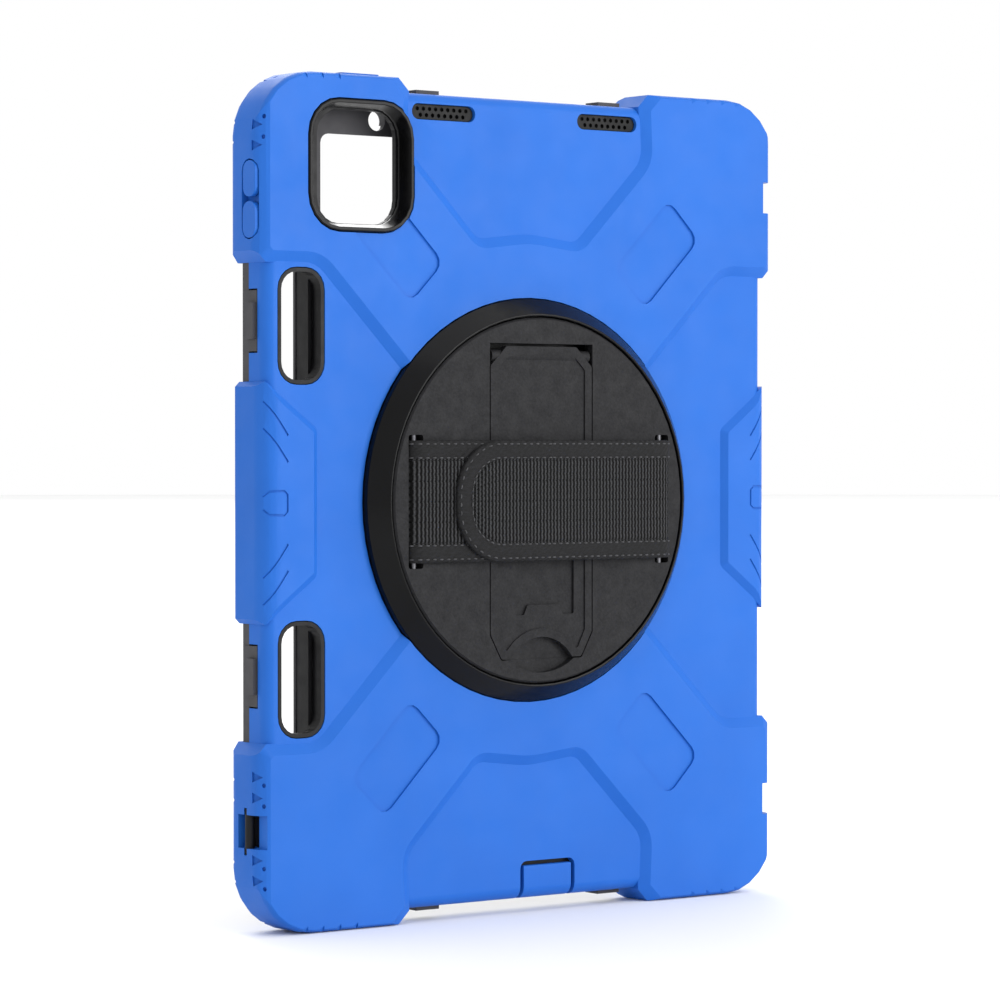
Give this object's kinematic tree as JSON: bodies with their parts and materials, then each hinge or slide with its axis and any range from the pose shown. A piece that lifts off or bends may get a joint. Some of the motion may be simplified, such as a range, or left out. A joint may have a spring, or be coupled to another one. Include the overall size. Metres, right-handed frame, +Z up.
{
  "type": "tablet case with turning hand strap and kickstand",
  "caption": "Rugged portrait tablet case: silicone cover over a rigid tray and front frame, with a turning round stand that carries a kickstand and a hand strap.",
  "frame": {"origin": "bottom centre of the bounding box, on the floor the case stands on", "axes": "+Z up along the case's length, screen side towards -Y, stand and strap towards +Y, stylus slot towards +X"},
  "size_m": [0.2094, 0.028, 0.267],
  "materials": {
    "blue_silicone": "matt silicone",
    "shell_plastic": "fine matt",
    "frame_plastic": "fine matt",
    "gloss_plastic": "polished",
    "disc_plastic": "fine leather-like texture",
    "acetal": "smooth",
    "steel": "plain",
    "elastic_weave": "ribbed elastic weave"
  },
  "bodies": {
    "case": {"silicone_cover": "blue_silicone", "back_shell": "shell_plastic", "front_frame": "frame_plastic", "camera_bezel": "gloss_plastic", "speaker_mesh_right": "shell_plastic", "speaker_mesh_left": "shell_plastic", "lug_post_lower_right": "shell_plastic", "lug_post_upper_left": "shell_plastic", "lug_post_lower_left": "shell_plastic", "stand_ring": "gloss_plastic"},
    "turning_stand": {"turntable": "disc_plastic", "slip_washer": "acetal", "retainer_ring": "steel", "retainer_screw_1": "steel", "retainer_screw_2": "steel", "retainer_screw_3": "steel", "retainer_screw_4": "steel", "retainer_screw_5": "steel", "retainer_screw_6": "steel", "kickstand_pin": "steel", "hand_strap_base": "elastic_weave", "hand_strap_tab": "elastic_weave", "strap_bar_right": "steel", "strap_bar_left": "steel"},
    "kickstand": {"kickstand_leg": "disc_plastic"},
    "flap": {"port_flap": "blue_silicone"},
    "power_key": {"power_button": "blue_silicone"},
    "volume_up_key": {"volume_up_button": "blue_silicone"},
    "volume_down_key": {"volume_down_button": "blue_silicone"}
  },
  "joints": [
    {"name": "stand_turn", "type": "hinge", "parent": "case", "child": "turning_stand", "pos_m": [0, 0.0094, 0.13315], "axis": [0, 1, 0], "continuous": true},
    {"name": "kickstand_hinge", "type": "hinge", "parent": "turning_stand", "child": "kickstand", "pos_m": [0, 0.0074, 0.17935], "axis": [1, 0, 0], "range_deg": [0, 60], "deforming": ["hand_strap_base", "hand_strap_tab"]},
    {"name": "flap_hinge", "type": "hinge", "parent": "case", "child": "flap", "pos_m": [-0.00865, -0.0067, 0.00455], "axis": [-1, 0, 0], "range_deg": [0, 90]},
    {"name": "power_press", "type": "slide", "parent": "case", "child": "power_key", "axis": [0, 0, -1], "range_m": [0, 0.0006], "stiffness_N_per_m": 600},
    {"name": "volume_up_press", "type": "slide", "parent": "case", "child": "volume_up_key", "axis": [-1, 0, 0], "range_m": [0, 0.0005], "stiffness_N_per_m": 600},
    {"name": "volume_down_press", "type": "slide", "parent": "case", "child": "volume_down_key", "axis": [-1, 0, 0], "range_m": [0, 0.0005], "stiffness_N_per_m": 600}
  ]
}
